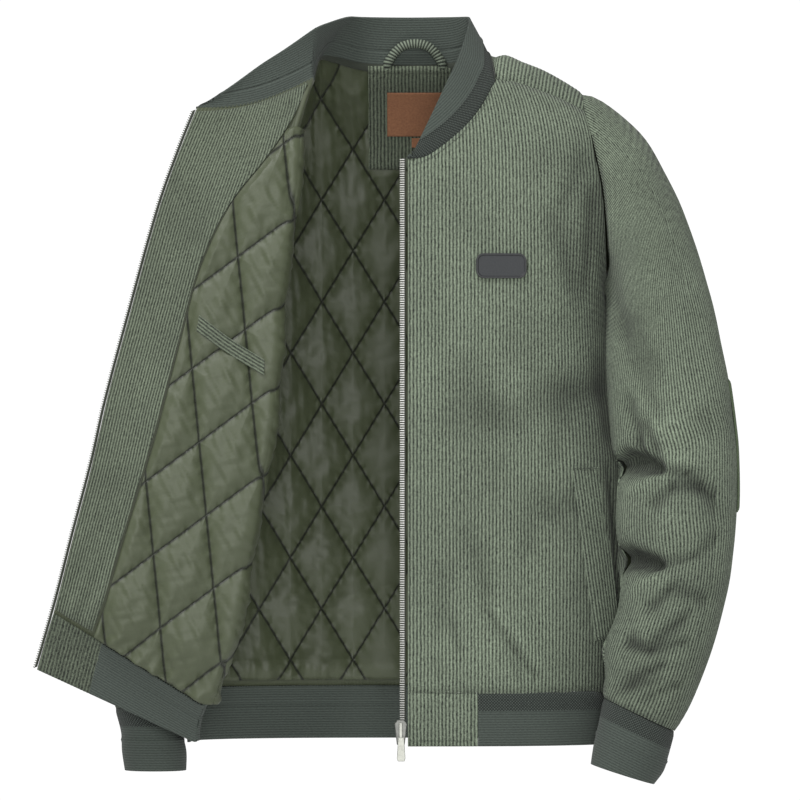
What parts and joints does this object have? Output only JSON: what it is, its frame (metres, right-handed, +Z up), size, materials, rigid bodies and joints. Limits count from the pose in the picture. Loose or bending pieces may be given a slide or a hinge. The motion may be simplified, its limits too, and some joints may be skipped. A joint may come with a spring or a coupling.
{
  "type": "corduroy bomber jacket, filled out and worn open",
  "caption": "Corduroy bomber jacket with quilted lining, rib collar, cuffs and hem, held open in its worn hollow form.",
  "frame": {"origin": "middle of the neck at the level of the shoulders' neck points, where the wearer carries it", "axes": "+X to the wearer's left, -Y to the front, +Z up"},
  "size_m": [0.7375, 0.2321, 0.8016],
  "materials": {
    "corduroy": "ribbed velvet pile",
    "rib_knit": "matte knit",
    "quilted_lining": "satin",
    "elbow_patch": "brushed",
    "badge_rubber": "satin",
    "woven_label": "woven",
    "zip_tape": "woven",
    "zip_metal": "polished"
  },
  "bodies": {
    "jacket": {"front_left": "corduroy", "front_right": "corduroy", "back": "corduroy", "sleeve_left_front": "corduroy", "sleeve_left_back": "corduroy", "sleeve_right_front": "corduroy", "sleeve_right_back": "corduroy", "hem_tab_left": "corduroy", "hem_tab_right": "corduroy", "facing_right": "corduroy", "neck_patch": "corduroy", "hanger_loop": "corduroy", "pocket_welt_left": "corduroy", "pocket_welt_right": "corduroy", "inner_pocket_welt": "corduroy", "collar": "rib_knit", "cuff_left": "rib_knit", "cuff_right": "rib_knit", "hem_rib": "rib_knit", "lining_back": "quilted_lining", "lining_front_right": "quilted_lining", "elbow_patch_left": "elbow_patch", "elbow_patch_right": "elbow_patch", "badge": "badge_rubber", "label": "woven_label", "size_tab": "woven_label", "zip_tape_left": "zip_tape", "zip_tape_right": "zip_tape", "zip_chain_left": "zip_metal", "zip_chain_right": "zip_metal", "zip_slider": "zip_metal"},
    "zip_pull": {"pull_tab": "zip_metal"}
  },
  "joints": [
    {"name": "pull_hinge", "type": "hinge", "parent": "jacket", "child": "zip_pull", "pos_m": [-0.0092, -0.1018, -0.7029], "axis": [-1, 0, 0], "range_deg": [0, 150]}
  ]
}
